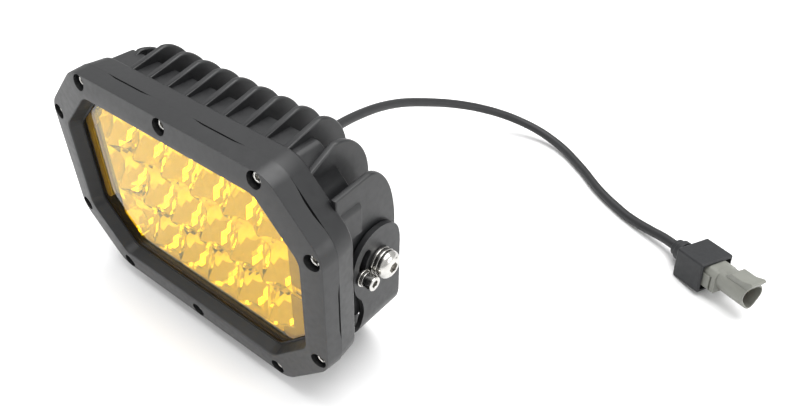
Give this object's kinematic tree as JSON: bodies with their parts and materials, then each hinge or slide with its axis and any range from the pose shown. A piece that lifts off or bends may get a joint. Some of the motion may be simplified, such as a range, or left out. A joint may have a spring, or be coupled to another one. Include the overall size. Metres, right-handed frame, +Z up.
{
  "type": "fog light",
  "caption": "Octagonal LED fog light with a finned housing, amber lens and tilting U bracket, wired to a sealed two-way connector on a short lead.",
  "frame": {"origin": "on the surface the bracket's base stands on, in the middle of the lamp's width and of its depth, the free lead left out", "axes": "+X to the right as seen from the front, +Y rearwards, +Z up; the lamp shines along -Y"},
  "size_m": [0.4095, 0.3527, 0.1705],
  "materials": {
    "lamp_coat": "satin black powder coat on die-cast aluminium",
    "bracket_coat": "satin black powder coat on bent steel",
    "stainless": "bright stainless steel",
    "amber_lens": "clear amber, polished",
    "seal_rubber": "matte",
    "reflector_chrome": "metallised plastic, bright",
    "inner_trim": "matte grey",
    "board_white": "white solder mask",
    "driver_green": "green solder mask",
    "black_plastic": "matte moulded nylon",
    "cable_sheath": "matte black jacket",
    "boot_black": "matte black overmould",
    "connector_grey": "grey moulded nylon",
    "wedge_orange": "orange moulded nylon",
    "pin_metal": "tinned brass"
  },
  "bodies": {
    "bracket": {"bracket": "bracket_coat", "lead": "cable_sheath", "connector_boot": "boot_black", "connector_housing": "connector_grey", "wedge_lock": "wedge_orange", "contact_pin_1": "pin_metal", "contact_pin_2": "pin_metal"},
    "lamp": {"bezel": "lamp_coat", "heat_sink_housing": "lamp_coat", "lens": "amber_lens", "lens_gasket": "seal_rubber", "reflector_array": "reflector_chrome", "trim_frame": "inner_trim", "led_board": "board_white", "driver_board": "driver_green", "vent_plug": "black_plastic", "cable_gland": "black_plastic", "strain_relief": "seal_rubber", "right_pivot_washer": "stainless", "right_pivot_spring_washer": "stainless", "right_pivot_bolt": "stainless", "right_lock_washer": "stainless", "right_lock_spring_washer": "stainless", "right_lock_screw": "stainless", "left_pivot_washer": "stainless", "left_pivot_spring_washer": "stainless", "left_pivot_bolt": "stainless", "left_lock_washer": "stainless", "left_lock_spring_washer": "stainless", "left_lock_screw": "stainless", "bezel_screw_1": "stainless", "bezel_screw_2": "stainless", "bezel_screw_3": "stainless", "bezel_screw_4": "stainless", "bezel_screw_5": "stainless", "bezel_screw_6": "stainless", "bezel_screw_7": "stainless", "bezel_screw_8": "stainless", "bezel_screw_9": "stainless", "bezel_screw_10": "stainless"}
  },
  "joints": [
    {"name": "tilt", "type": "hinge", "parent": "bracket", "child": "lamp", "pos_m": [0, 0.01675, 0.09], "axis": [-1, 0, 0], "range_deg": [-5, 58], "deforming": ["lead"]}
  ]
}
